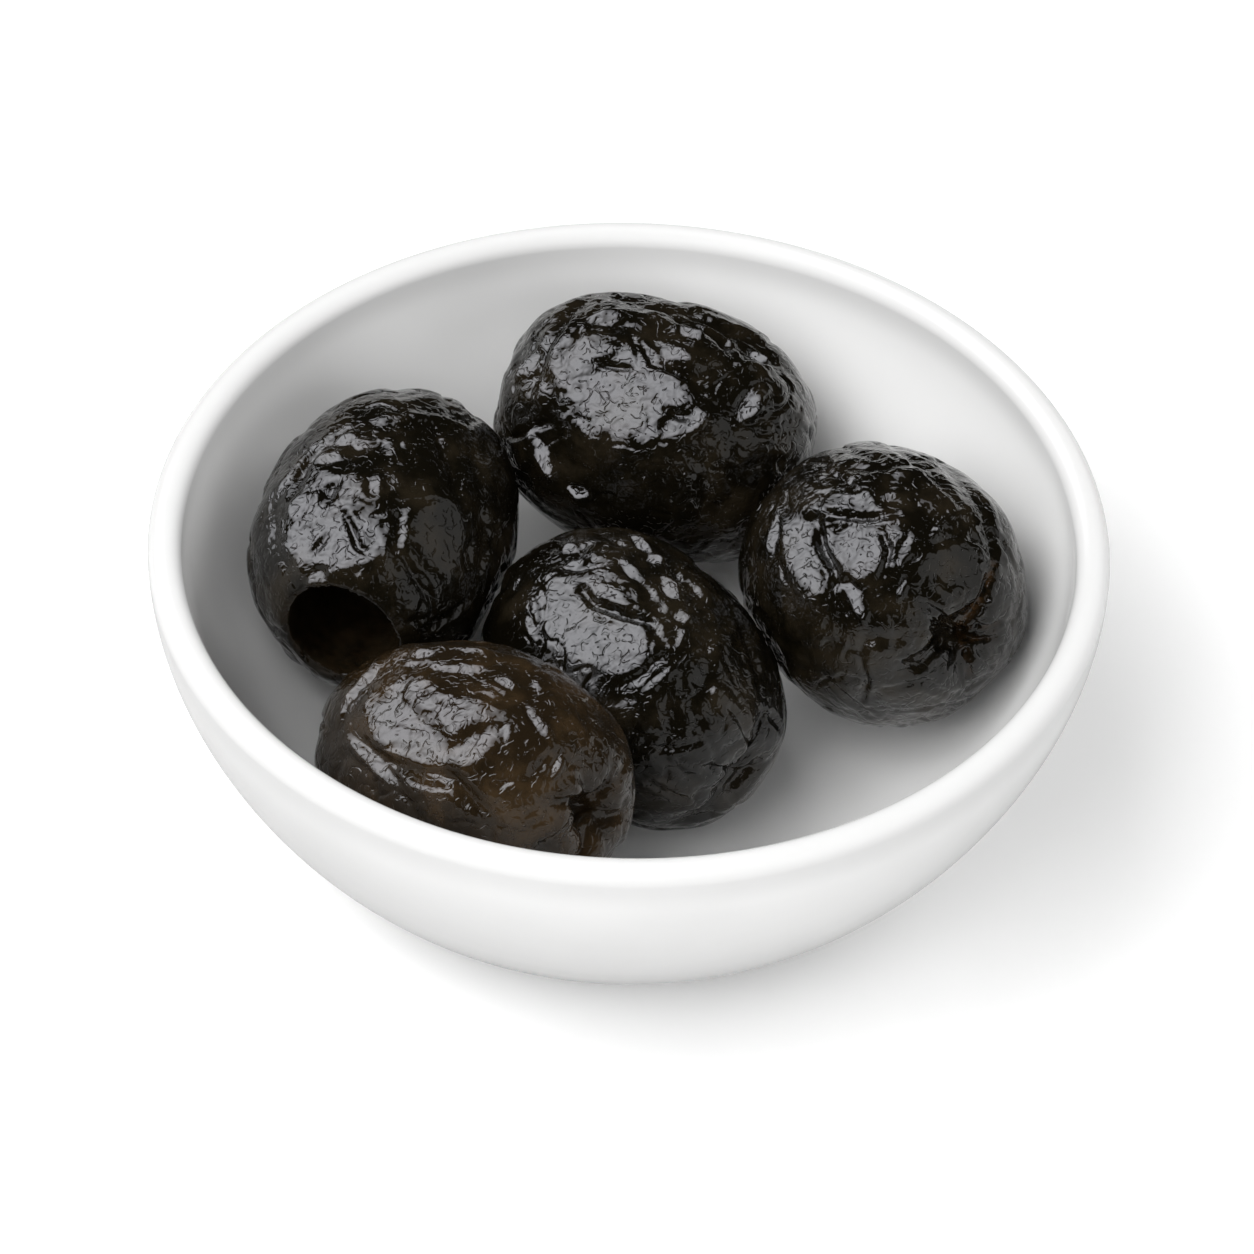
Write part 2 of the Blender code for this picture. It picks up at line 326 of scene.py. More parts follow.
def new_tree(name, inputs):
    """A Geometry Nodes tree with named inputs; gives back the tree and its input node."""
    tree = bpy.data.node_groups.new(name, "GeometryNodeTree")
    tree.interface.new_socket(name="Geometry", in_out="INPUT",
                              socket_type="NodeSocketGeometry")
    for label, kind in inputs:
        tree.interface.new_socket(name=label, in_out="INPUT", socket_type=kind)
    tree.interface.new_socket(name="Geometry", in_out="OUTPUT",
                              socket_type="NodeSocketGeometry")
    return tree, tree.nodes.new("NodeGroupInput").outputs


def close_tree(tree, geometry, material):
    """End a tree in Realize Instances and Set Material."""
    realized = add_node(tree, "GeometryNodeRealizeInstances", Geometry=geometry)
    dressed = add_node(tree, "GeometryNodeSetMaterial", Geometry=realized.outputs[0],
                       Material=material)
    output = tree.nodes.new("NodeGroupOutput")
    tree.links.new(dressed.outputs[0], output.inputs[0])


def turning_tree():
    tree, given = new_tree("turned_shape", [("Sides", "NodeSocketInt"),
                                            ("Rows", "NodeSocketInt"),
                                            ("Finish", "NodeSocketMaterial")])
    columns = math_node(tree, "ADD", given["Sides"], 1)
    grid = add_node(tree, "GeometryNodeMeshGrid", Size_X=1.0, Size_Y=1.0,
                    Vertices_X=columns, Vertices_Y=given["Rows"])
    place = add_node(tree, "GeometryNodeInputPosition").outputs[0]
    split = add_node(tree, "ShaderNodeSeparateXYZ", Vector=place)
    turn = math_node(tree, "ADD", split.outputs["X"], HALF_GRID)
    turn = math_node(tree, "MULTIPLY", turn, math.tau)
    last_row = math_node(tree, "SUBTRACT", given["Rows"], 1)
    row = math_node(tree, "ADD", split.outputs["Y"], HALF_GRID)
    row = math_node(tree, "ROUND", math_node(tree, "MULTIPLY", row, last_row))
    looked_up = add_node(tree, "GeometryNodeSampleIndex",
                         {"data_type": "FLOAT_VECTOR", "domain": "POINT"},
                         Geometry=given["Geometry"], Value=place, Index=row)
    cut = add_node(tree, "ShaderNodeSeparateXYZ", Vector=looked_up.outputs[0])
    radius = cut.outputs["X"]
    across = math_node(tree, "MULTIPLY", radius, math_node(tree, "COSINE", turn))
    away = math_node(tree, "MULTIPLY", radius, math_node(tree, "SINE", turn))
    turned = add_node(tree, "ShaderNodeCombineXYZ", X=across, Y=away, Z=cut.outputs["Z"])
    moved = add_node(tree, "GeometryNodeSetPosition", Geometry=grid.outputs["Mesh"],
                     Position=turned.outputs[0])
    merged = add_node(tree, "GeometryNodeMergeByDistance", Geometry=moved.outputs[0],
                      Distance=SEAM_REACH)
    close_tree(tree, merged.outputs[0], given["Finish"])
    return tree


def set_modifier_input(modifier, label, value):
    """Set a tree's named input on a modifier, by its socket's identifier."""
    for item in modifier.node_group.interface.items_tree:
        if item.name == label and item.in_out == "INPUT":
            modifier[item.identifier] = value


def evaluated_mesh(thing):
    """What an object's modifiers make of it, as a plain mesh."""
    shaped = thing.evaluated_get(bpy.context.evaluated_depsgraph_get())
    return bpy.data.meshes.new_from_object(shaped)


def run_tree(name, start_mesh, tree, values):
    """Run a tree on a mesh and give back the result as a plain mesh object."""
    source = bpy.data.objects.new(name + "_start", start_mesh)
    bpy.context.scene.collection.objects.link(source)
    modifier = source.modifiers.new("shape", "NODES")
    modifier.node_group = tree
    for label, value in values.items():
        set_modifier_input(modifier, label, value)
    mesh = evaluated_mesh(source)
    bpy.data.objects.remove(source, do_unlink=True)
    mesh.name = name
    thing = bpy.data.objects.new(name, mesh)
    bpy.context.scene.collection.objects.link(thing)
    return thing


def face_outwards(mesh):
    """Recalculate normals on a closed mesh, and shade it smooth."""
    bm = bmesh.new()
    bm.from_mesh(mesh)
    bmesh.ops.recalc_face_normals(bm, faces=bm.faces)
    bm.to_mesh(mesh)
    bm.free()
    mesh.shade_smooth()


OUTLINE = dish_outline()
outline_mesh = bpy.data.meshes.new("dish_outline")
outline_mesh.from_pydata([(radius, 0.0, height) for radius, height in OUTLINE],
                         [(i, i + 1) for i in range(len(OUTLINE) - 1)], [])
dish = run_tree("turned_dish", outline_mesh, turning_tree(),
                {"Sides": DISH_SIDES, "Rows": len(OUTLINE), "Finish": GLAZE})
face_outwards(dish.data)
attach(dish, "root")
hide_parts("dish")
print("dish faces:", len(dish.data.polygons))

# %% [markdown]
# ## Olive blanks
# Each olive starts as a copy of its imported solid, so it keeps its size and place. The copy's
# loose triangles are merged, smoothed by subdivision and cut into an even net of small faces
# by a voxel remesh, because fine wrinkles need faces of one size all over. Subdivision alone
# would crowd small faces at the two ends. Work on an olive is done lying along X, so that
# patterns can be stretched along its length. Two angles in degrees say how each olive lies:
# the way its front end points, round from the right, and how far that end is tipped up.

# %% Olive blanks
OLIVE_TURNS = {
    "olive_left": (-106, 2),
    "olive_back": (-12, -9),
    "olive_middle": (-50, -2),
    "olive_front": (-37, 15),
    "olive_right": (-62, 17),
}
NET_SIZE = 0.18 * MM
MERGE_REACH = 0.005 * MM
JOIN_ANGLE = 0.7
ROUNDING_LEVELS = 2
CALM_SHARE = 0.5
CALM_ROUNDS = 4


def olive_frame(name):
    """The place of an olive that lies along X: turned round Z, then tilted up at its front."""
    heading, tilt = (math.radians(angle) for angle in OLIVE_TURNS[name])
    turn = Matrix.Rotation(heading, 4, "Z") @ Matrix.Rotation(-tilt, 4, "Y")
    low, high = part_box(name)
    return Matrix.Translation((Vector(low) + Vector(high)) / 2) @ turn


def olive_blank(name):
    """A merged, smoothed and evenly meshed copy of an olive's solid, lying along X."""
    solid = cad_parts[name]
    mesh = solid.data.copy()
    bm = bmesh.new()
    bm.from_mesh(mesh)
    bmesh.ops.remove_doubles(bm, verts=bm.verts, dist=MERGE_REACH)
    bmesh.ops.join_triangles(bm, faces=bm.faces, angle_face_threshold=JOIN_ANGLE,
                             angle_shape_threshold=JOIN_ANGLE)
    bm.to_mesh(mesh)
    bm.free()
    mesh.transform(olive_frame(name).inverted() @ solid.matrix_world)
    blank = bpy.data.objects.new(name + "_blank", mesh)
    bpy.context.scene.collection.objects.link(blank)
    rounding = blank.modifiers.new("rounding", "SUBSURF")
    rounding.levels = ROUNDING_LEVELS
    rounding.render_levels = ROUNDING_LEVELS
    net = blank.modifiers.new("net", "REMESH")
    net.mode = "VOXEL"
    net.voxel_size = NET_SIZE
    calm = blank.modifiers.new("calm", "SMOOTH")
    calm.factor = CALM_SHARE
    calm.iterations = CALM_ROUNDS
    result = evaluated_mesh(blank)
    bpy.data.objects.remove(blank, do_unlink=True)
    return result


print("net size: %.2f mm" % (NET_SIZE / MM))

# %% [markdown]
# ## Points and masks
# An olive has some 80,000 points, and a loop over them in Python is slow. Blender can hand
# them over as one array, so that a sum runs on the whole mesh at once. What the steps below
# find is stored on the mesh as masks, one number for each point, which the node trees of
# the relief and of the skin then read.

# %% Points and masks


def mesh_values(mesh, label):
    """A mesh's places, "co", or normals, "normal", as rows of three numbers."""
    values = np.empty(len(mesh.vertices) * 3)
    mesh.vertices.foreach_get(label, values)
    return values.reshape(-1, 3)


def world_points(mesh, place):
    return mesh_values(mesh, "co") @ np.array(place.to_3x3()).T + np.array(place.translation)


def world_normals(mesh, place):
    return mesh_values(mesh, "normal") @ np.array(place.to_3x3()).T


def write_mask(mesh, label, values, kind="FLOAT", field="value"):
    layer = mesh.attributes.new(label, kind, "POINT")
    layer.data.foreach_set(field, values.astype(np.float32).ravel())


def search_tree(mesh, place):
    """A tree that finds where rays and near points meet a mesh."""
    bm = bmesh.new()
    bm.from_mesh(mesh)
    bm.transform(place)
    tree = BVHTree.FromBMesh(bm)
    bm.free()
    return tree


def soft_step(values, ends):
    """0 below the first end, 1 above the second, and a soft rise between them."""
    share = np.clip((values - ends[0]) / (ends[1] - ends[0]), 0.0, 1.0)
    return share * share * (3.0 - 2.0 * share)


# %% [markdown]
# ## Creases drawn on the photograph
# Every olive wrinkles in its own way, so its main creases are drawn, not left to chance. A
# stroke is a row of places in the photograph, in pixels across and down from its top left
# corner. Each is sent along the camera's ray until it meets the olive, which gives a path on
# the skin. Skin near the path sinks into a soft groove with slightly swollen banks, which
# runs out at both ends; a negative depth raises a ridge instead. Sculpting would do the same,
# but a row of points is easier to read and to change.

# %% Strokes on the skin
BANK_SHARE = 0.25
BANK_AWAY = 2.0
TAPER_ENDS = (0.06, 0.94)
TAPER_POWER = 0.5


class Stroke:
    """A crease or ridge: pixels in the photograph, depth and half width in millimetres, and
    how much bare flesh shows in it, from 0 to 1."""

    def __init__(self, pixels, depth=0.35, width=0.55, flesh=0.0):
        self.pixels = pixels
        self.depth = depth * MM
        self.width = width * MM
        self.flesh = flesh


def path_on_skin(tree, pixels):
    """Send each pixel's ray to the olive; gives back the points where it lands."""
    points = []
    for across, down in pixels:
        sideways = (across - PHOTO_MIDDLE) / FOCAL_PIXELS * RIGHT
        upwards = (PHOTO_MIDDLE - down) / FOCAL_PIXELS * UP
        hit = tree.ray_cast(CAMERA_PLACE, (sideways + upwards - BACK).normalized())[0]
        if hit is not None:
            points.append(np.array(hit))
    return points


def path_distance(points, path):
    """How far each point lies from a path, and how far along it, from 0 to 1."""
    nearest = np.full(len(points), np.inf)
    share = np.zeros(len(points))
    lengths = [np.linalg.norm(end - start) for start, end in zip(path, path[1:])]
    done = 0.0
    for start, end, length in zip(path, path[1:], lengths):
        run = (end - start) / length
        along = np.clip((points - start) @ run, 0.0, length)
        away = np.linalg.norm(points - start - along[:, None] * run, axis=1)
        closer = away < nearest
        nearest[closer] = away[closer]
        share[closer] = (done + along[closer]) / sum(lengths)
        done += length
    return nearest, share


def cut_groove(stroke, path, points):
    """How deep a stroke sinks each point, and how much flesh it bares there."""
    away, share = path_distance(points, path)
    taper = np.sin(np.pi * np.clip(share, *TAPER_ENDS)) ** TAPER_POWER
    groove = np.exp(-(away / stroke.width) ** 2)
    bank = np.exp(-((away - BANK_AWAY * stroke.width) / stroke.width) ** 2)
    return (stroke.depth * taper * (groove - BANK_SHARE * bank),
            stroke.flesh * taper * groove)


# %% [markdown]
# ## Flat spots that mirror a light
# Wet skin is drawn tight between its creases, and each flat spot there mirrors one light as
# a bright patch. A facet is such a spot: an ellipse in the photograph, and the direction of
# what it mirrors. The skin inside is pressed toward a plane that is turned half way between
# the camera and that light. Real skin leans further than the room between the olives lets it
# lean here, so the rest is a tilt of the shading, which the skin's material adds to its
# normal. The tilt has a ragged edge, as a patch on wrinkles has. The shape has a soft edge,
# so that the outline gets no spikes. A dark spot leans the other way and mirrors nothing
# bright. Painting the patches white would be simpler, but then they would stay white in any
# other light.

# %% Facets on the skin


def compass(turn, height):
    """A direction: degrees round from the right, and degrees above the floor."""
    turn = math.radians(turn)
    height = math.radians(height)
    return np.array((math.cos(height) * math.cos(turn), math.cos(height) * math.sin(turn),
                     math.sin(height)))


WINDOW_WAY = compass(152, 50)
DIM_WAY = compass(-25, 24)
WALL_WAY = compass(8, 7)
FACET_LEAN = 0.95
FACET_MOVE = 0.6 * MM
FACET_FACING = (0.15, 0.40)
FACET_INSIDE = 0.6
FACET_FEWEST_POINTS = 4
STEEPEST_SHARE = 95
SHADED_FLAT = 0.8
DARK_ANGLE = math.radians(27)
DARK_FLAT = 0.2
SOFT_EDGE = (-1.3, -0.6)
RAGGED_EDGE = (-1.15, -0.85)
RAGGED_REACH = 1.5
RAGGED_DEPTH = 0.50
RAGGED_SCALES = (1000.0, 2600.0)
RAGGED_FINE_SHARE = 0.5


class Facet:
    """A flat spot: its middle and half sizes in the photograph's pixels, how far it is turned
    in degrees anticlockwise, the direction of what it mirrors, how much of the skin's
    roundness it loses, and the highest step at its edge in millimetres."""

    def __init__(self, middle, length, width, turn=0, mirrors=WINDOW_WAY, flat=0.5, step=0.4,
                 dark=False):
        self.middle = np.array(middle, dtype=float)
        self.length = length
        self.width = width
        self.turn = math.radians(turn)
        self.mirrors = mirrors
        self.flat = flat
        self.step = step * MM
        self.dark = dark


def dark_spot(middle, length, width, turn=0, flat=DARK_FLAT):
    return Facet(middle, length, width, turn, flat=flat, dark=True)


def unit(vector):
    return vector / np.linalg.norm(vector)


def photo_pixels(points):
    """Where points of the scene land in the photograph."""
    away = points - np.array(CAMERA_PLACE)
    depth = -(away @ np.array(BACK))
    across = PHOTO_MIDDLE + FOCAL_PIXELS * (away @ np.array(RIGHT)) / depth
    down = PHOTO_MIDDLE - FOCAL_PIXELS * (away @ np.array(UP)) / depth
    return np.column_stack((across, down))


def facet_masks(facet, pixels, facing, points):
    """Two masks, 1 inside a facet and 0 outside it: a soft one for its shape, and one with a
    ragged edge for its shading. Both fade where the skin turns from the camera."""
    offset = pixels - facet.middle
    along = offset[:, 0] * math.cos(facet.turn) - offset[:, 1] * math.sin(facet.turn)
    across = offset[:, 0] * math.sin(facet.turn) + offset[:, 1] * math.cos(facet.turn)
    reach = np.hypot(along / facet.length, across / facet.width)
    ragged = reach.copy()
    coarse, fine = RAGGED_SCALES
    for index in np.flatnonzero((facing > 0.0) & (reach < RAGGED_REACH)):
        point = Vector(points[index])
        wobble = noise.noise(point * coarse) + RAGGED_FINE_SHARE * noise.noise(point * fine)
        ragged[index] *= 1.0 + RAGGED_DEPTH * wobble
    fade = soft_step(facing, FACET_FACING)
    return fade * soft_step(-reach, SOFT_EDGE), fade * soft_step(-ragged, RAGGED_EDGE)


def facet_slope(facet, view, normal):
    """How steeply the skin has to lean to mirror the facet's light, and which way."""
    mirror = unit(view + facet.mirrors)
    lean_to = mirror - (mirror @ normal) * normal
    slope = FACET_LEAN * np.linalg.norm(lean_to) / (mirror @ normal)
    if facet.dark:
        slope = -math.tan(max(DARK_ANGLE - math.atan(slope), 0.0))
    return slope, unit(lean_to)


def press_facet(facet, masks, points, normals, depth, tilt):
    """The skin's depth after one facet is pressed flat and leant toward what it mirrors, and
    the tilt of its shading, which does what the depth leaves undone."""
    soft, ragged = masks
    inside = soft > FACET_INSIDE
    centre = points[inside].mean(axis=0)
    normal = unit(normals[inside].mean(axis=0))
    slope, lean_to = facet_slope(facet, unit(np.array(CAMERA_PLACE) - centre), normal)
    lean = (points - centre) @ lean_to
    steepest = facet.step / np.percentile(np.abs(lean[inside]), STEEPEST_SHARE)
    pressed_slope = np.clip(slope, -steepest, steepest)
    rest = (slope - pressed_slope) * lean_to
    rest = rest + SHADED_FLAT * (1.0 - facet.flat) * (normal - normals)
    fall = -(points - centre) @ normal
    fall -= fall[inside].mean()
    pressed = depth[inside].mean() - facet.flat * fall + pressed_slope * lean
    change = np.clip(pressed - depth, -FACET_MOVE, FACET_MOVE)
    return depth + change * soft, tilt + (rest - tilt) * ragged[:, None]


print("window, dim window and wall:", WINDOW_WAY, DIM_WAY, WALL_WAY)

# %% [markdown]
# ## Drawing the marks
# Strokes and facets are drawn in order, as on paper: a facet wipes out what lies under it,
# and a stroke that comes after it cuts through the patch. Nothing moves yet. The depth, the
# tilt and the bare flesh are only written down, so that the relief tree can add them to its
# own dents and folds in one step.

# %% Drawing the marks
PIT_FLESH = 0.10


def draw_marks(mesh, place, marks, pit):
    """Write how deep the marks sink the skin, how they tilt its shading, and where they bare
    the flesh."""
    tree = search_tree(mesh, place)
    points = world_points(mesh, place)
    normals = world_normals(mesh, place)
    pixels = photo_pixels(points)
    facing = np.where(pit > 0.0, 0.0, normals @ np.array(BACK))
    depth = np.zeros(len(points))
    pressed = np.zeros(len(points))
    tilt = np.zeros((len(points), 3))
    flesh = PIT_FLESH * pit
    for mark in marks:
        if isinstance(mark, Facet):
            masks = facet_masks(mark, pixels, facing, points)
            if (masks[0] > FACET_INSIDE).sum() < FACET_FEWEST_POINTS:
                print("facet missed:", mark.middle)
                continue
            depth, tilt = press_facet(mark, masks, points, normals, depth, tilt)
            pressed = np.maximum(pressed, masks[0])
            continue
        path = path_on_skin(tree, mark.pixels)
        if len(path) < 2:
            print("stroke missed:", mark.pixels[0])
            continue
        sunk, bared = cut_groove(mark, path, points)
        depth = depth + sunk
        flesh = np.maximum(flesh, bared)
    write_mask(mesh, "drawn", depth)
    write_mask(mesh, "flesh", flesh)
    write_mask(mesh, "pressed", pressed)
    write_mask(mesh, "tilt", tilt, "FLOAT_VECTOR", "vector")


# %% [markdown]
# ## Room to swell
# The olives lie a fraction of a millimetre from each other and from the dish. Swollen skin
# must not close that gap, so each skin point stores how far it may rise: half of its distance
# to the nearest neighbour, less a hair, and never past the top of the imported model. The
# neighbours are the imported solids. One small swell for all of the skin would be simpler, but
# it would have to be as small as the narrowest gap.

# %% Room to swell
ROOM_REACH = 3.6 * MM
ROOM_SPARE = 0.03 * MM
HIGHEST = CAD_BOX[1][2] - 0.02 * MM
LEAST_UPWARD = 0.2

SOLID_TREES = {name: search_tree(solid.data, solid.matrix_world)
               for name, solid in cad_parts.items()}


def room_to_swell(mesh, place, name):
    """Write how far each skin point may rise before it comes near a neighbour; gives back
    the least."""
    room = np.full(len(mesh.vertices), ROOM_REACH / 2)
    points = world_points(mesh, place)
    for other, tree in SOLID_TREES.items():
        if other == name:
            continue
        low, high = (np.array(corner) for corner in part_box(other))
        near = np.all((points > low - ROOM_REACH) & (points < high + ROOM_REACH), axis=1)
        for index in np.flatnonzero(near):
            distance = tree.find_nearest(Vector(points[index]), ROOM_REACH)[3]
            if distance is not None:
                room[index] = min(room[index], distance / 2 - ROOM_SPARE)
    upward = world_normals(mesh, place)[:, 2]
    below_top = (HIGHEST - points[:, 2]) / np.maximum(upward, LEAST_UPWARD)
    room = np.minimum(room, below_top)
    write_mask(mesh, "room", room)
    return room.min()


print("highest skin: %.2f mm" % (HIGHEST / MM))

# %% [markdown]
# ## Pit hole
# The pitter's tool left a straight bore of bare flesh in the left olive. It is already in
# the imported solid, so it only has to be told from the skin, because it has another colour
# and no wrinkles. Its wall is found by its normals, which point at the bore's own axis.

# %% Pit hole mask
PIT_REACH = 5.3 * MM
PIT_FROM = -3.0 * MM
PIT_LIP = 1.0 * MM
PIT_LEAST_FACING = -0.25
PIT_AXIS_REACH = 0.01 * MM


def pit_mask(mesh):
    """1 on the wall of a pit hole, 0 on the skin."""
    points = mesh_values(mesh, "co")
    normals = mesh_values(mesh, "normal")
    front = points[points[:, 0] > points[:, 0].max() - PIT_LIP]
    centre = (front.max(axis=0) + front.min(axis=0)) / 2
    spoke = points[:, 1:] - centre[1:]
    reach = np.linalg.norm(spoke, axis=1)
    facing = -(normals[:, 1:] * spoke).sum(axis=1) / np.maximum(reach, PIT_AXIS_REACH)
    inside = (reach < PIT_REACH) & (points[:, 0] > PIT_FROM) & (facing > PIT_LEAST_FACING)
    return inside.astype(float)


# %% [markdown]
# ## The strokes of each olive
# These are the creases and ridges that the photograph shows, as far as they can be followed.
# Each row of pairs is the crease's way over the photograph, in pixels.

# %% Strokes
STROKES = {
    "olive_left": [
        # Creases among the shiny patches
        Stroke([(362, 444), (351, 464), (339, 483), (328, 501), (315, 514)]),
        Stroke([(346, 444), (319, 453), (306, 471), (297, 498)]),
        Stroke([(346, 519), (355, 541), (364, 559), (369, 564)]),
        Stroke([(310, 566), (315, 577), (308, 591)]),
        Stroke([(400, 500), (396, 540), (392, 563)]),
        # Long furrows down the right side, and the ridge over the top
        Stroke([(443, 449), (455, 500), (460, 560)], 0.30, 0.60),
        Stroke([(470, 455), (480, 510), (477, 573)], 0.30, 0.60),
        Stroke([(355, 432), (398, 420), (440, 424), (470, 434)], -0.20, 0.60),
    ],
    "olive_back": [
        # Two raised folds over the right shoulder
        Stroke([(629, 306), (655, 319), (677, 321), (707, 334), (729, 347), (739, 365),
                (763, 373), (778, 373), (789, 388)], -0.30, 0.45),
        Stroke([(679, 304), (707, 321), (733, 330), (763, 345), (789, 362)], -0.30, 0.45),
        # Creases on the left and between the patches
        Stroke([(581, 304), (562, 330), (544, 367), (533, 391)]),
        Stroke([(594, 358), (611, 365), (629, 371)]),
        Stroke([(633, 341), (646, 354), (668, 367), (692, 384), (698, 397)]),
        Stroke([(548, 430), (560, 460)], 0.40, 1.20),
        Stroke([(560, 390), (590, 430), (612, 450)], 0.20, 0.60),
    ],
    "olive_middle": [
        # The deep crease at the lower end, then creases among the patches
        Stroke([(763, 746), (750, 766), (730, 785), (711, 807)], 0.60, 0.60),
        Stroke([(583, 592), (591, 605), (609, 608), (626, 618), (635, 621)]),
        Stroke([(617, 638), (635, 640), (650, 642)]),
        Stroke([(665, 655), (639, 679), (622, 683)]),
        # A ridge and two furrows down the right side
        Stroke([(700, 590), (712, 620), (716, 660), (716, 700)], -0.20, 0.60),
        Stroke([(735, 620), (752, 660), (760, 700), (748, 735)], 0.25, 0.60),
        Stroke([(630, 535), (655, 560), (690, 590)], 0.25, 0.60),
        # Small creases low on the front
        Stroke([(679, 759), (711, 766), (736, 759), (754, 748)], 0.35, 0.32),
        Stroke([(651, 780), (679, 794), (708, 794), (729, 784)], 0.30, 0.30),
        Stroke([(729, 709), (743, 730), (745, 752)], 0.30, 0.30),
        Stroke([(764, 709), (775, 730), (777, 752)], 0.30, 0.30),
        Stroke([(672, 816), (708, 812), (736, 798)], 0.25, 0.28),
        Stroke([(640, 742), (668, 748), (700, 740)], 0.25, 0.28),
    ],
    "olive_front": [
        # The folds that meet in the puckered end
        Stroke([(588, 805), (597, 790), (612, 776), (621, 763)], 0.50, 0.50),
        Stroke([(583, 805), (568, 798), (545, 803)], 0.50, 0.50),
        Stroke([(586, 832), (583, 852)], 0.50, 0.50),
        Stroke([(597, 821), (612, 816), (621, 812)], 0.40, 0.45),
        # Furrows along the front, and the ridge along the top
        Stroke([(492, 812), (474, 798), (456, 778), (425, 772)], 0.40, 0.60),
        Stroke([(356, 732), (374, 752), (400, 765), (416, 763)], 0.40, 0.60),
        Stroke([(396, 658), (443, 653), (485, 656), (523, 665), (545, 685)], -0.25, 0.70),
    ],
    "olive_right": [
        # The star of the puckered end, where some flesh shows
        Stroke([(959, 626), (974, 606), (984, 584), (990, 566)], 0.40, 0.34, flesh=0.9),
        Stroke([(957, 632), (966, 650), (969, 672)], 0.50, 0.26, flesh=0.4),
        Stroke([(952, 632), (940, 646), (921, 663)], 0.55, 0.26),
        Stroke([(954, 628), (939, 610), (918, 601)], 0.35, 0.30),
        Stroke([(957, 630), (972, 640), (992, 636)], 0.45, 0.24, flesh=0.3),
        Stroke([(955, 632), (953, 650), (946, 668)], 0.35, 0.22),
        Stroke([(960, 630), (977, 624), (997, 622)], 0.40, 0.24, flesh=0.5),
        Stroke([(960, 634), (978, 652), (988, 664)], 0.35, 0.22),
        Stroke([(948, 628), (930, 627), (912, 632)], 0.35, 0.22),
        Stroke([(952, 626), (960, 630), (966, 634)], 0.60, 0.60),
        # A crease above the star
        Stroke([(934, 547), (973, 541), (985, 552)]),
        # Small creases low on the front
        Stroke([(861, 650), (868, 678), (861, 702)], 0.25, 0.28),
        Stroke([(878, 644), (909, 664), (937, 668)], 0.28, 0.26),
        Stroke([(885, 685), (923, 678), (950, 692)], 0.25, 0.28),
        Stroke([(895, 706), (937, 702), (971, 692)], 0.22, 0.26),
        Stroke([(826, 672), (845, 690), (872, 712)], 0.22, 0.30),
        Stroke([(856, 699), (866, 637), (898, 639), (928, 637), (947, 630)], 0.25, 0.50),
        # Creases between the patches, and the folds over the top
        Stroke([(815, 523), (823, 537), (821, 556), (837, 568), (841, 580), (837, 588)]),
        Stroke([(880, 533), (886, 549), (888, 556), (882, 568), (876, 584)]),
        Stroke([(841, 470), (868, 473), (898, 470), (928, 471), (947, 466)], 0.25, 0.60),
        Stroke([(947, 466), (967, 489), (985, 509), (993, 541), (997, 556), (1007, 566)],
               -0.20, 0.60),
    ],
}
print("strokes:", sum(len(strokes) for strokes in STROKES.values()))

# %% [markdown]
# ## The flat spots of each olive
# These are the spots that the photograph shows: the dark ones first, then the large patches,
# then the small ones. Most mirror the window on the left. Those on the right sides mirror the
# dim window, or the bright wall of the dish. The strokes at the end of a list are the
# creases that cut its patches.

